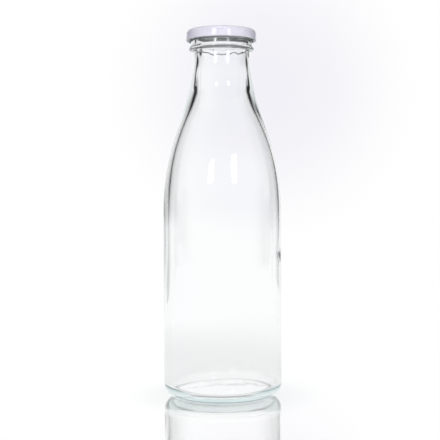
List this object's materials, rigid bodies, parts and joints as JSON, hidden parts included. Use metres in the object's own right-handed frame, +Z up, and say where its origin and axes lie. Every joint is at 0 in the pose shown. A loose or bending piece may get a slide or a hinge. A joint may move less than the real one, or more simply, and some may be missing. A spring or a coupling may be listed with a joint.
{
  "type": "glass milk bottle",
  "caption": "Tall clear glass milk bottle with a long sloping shoulder, a beaded neck and a white lugged twist-off metal cap with its sealing ring.",
  "frame": {"origin": "centre of the ring that the bottle stands on", "axes": "+Z up along the bottle's axis towards the mouth; +X through the middle of one cap lug"},
  "size_m": [0.0856, 0.0856, 0.2664],
  "materials": {
    "clear_glass": "clear flint glass, smooth outside, slightly wavy inside",
    "soft_seal": "soft moulded compound, matte",
    "white_enamel": "white baked enamel on tinplate, gloss"
  },
  "bodies": {
    "bottle": {"glass_bottle": "clear_glass"},
    "seal": {"sealing_ring": "soft_seal"},
    "cap": {"cap_shell": "white_enamel"}
  },
  "joints": [
    {"name": "cap_rise", "type": "slide", "parent": "bottle", "child": "seal", "axis": [0, 0, 1], "range_m": [0, 0.0351]},
    {"name": "cap_twist", "type": "hinge", "parent": "seal", "child": "cap", "pos_m": [0, 0, 0.262], "axis": [0, 0, 1], "range_deg": [0, 900]}
  ],
  "couplings": [
    {"joint": "cap_rise", "follows": "cap_twist", "m_per_rad": 0.0022282}
  ]
}
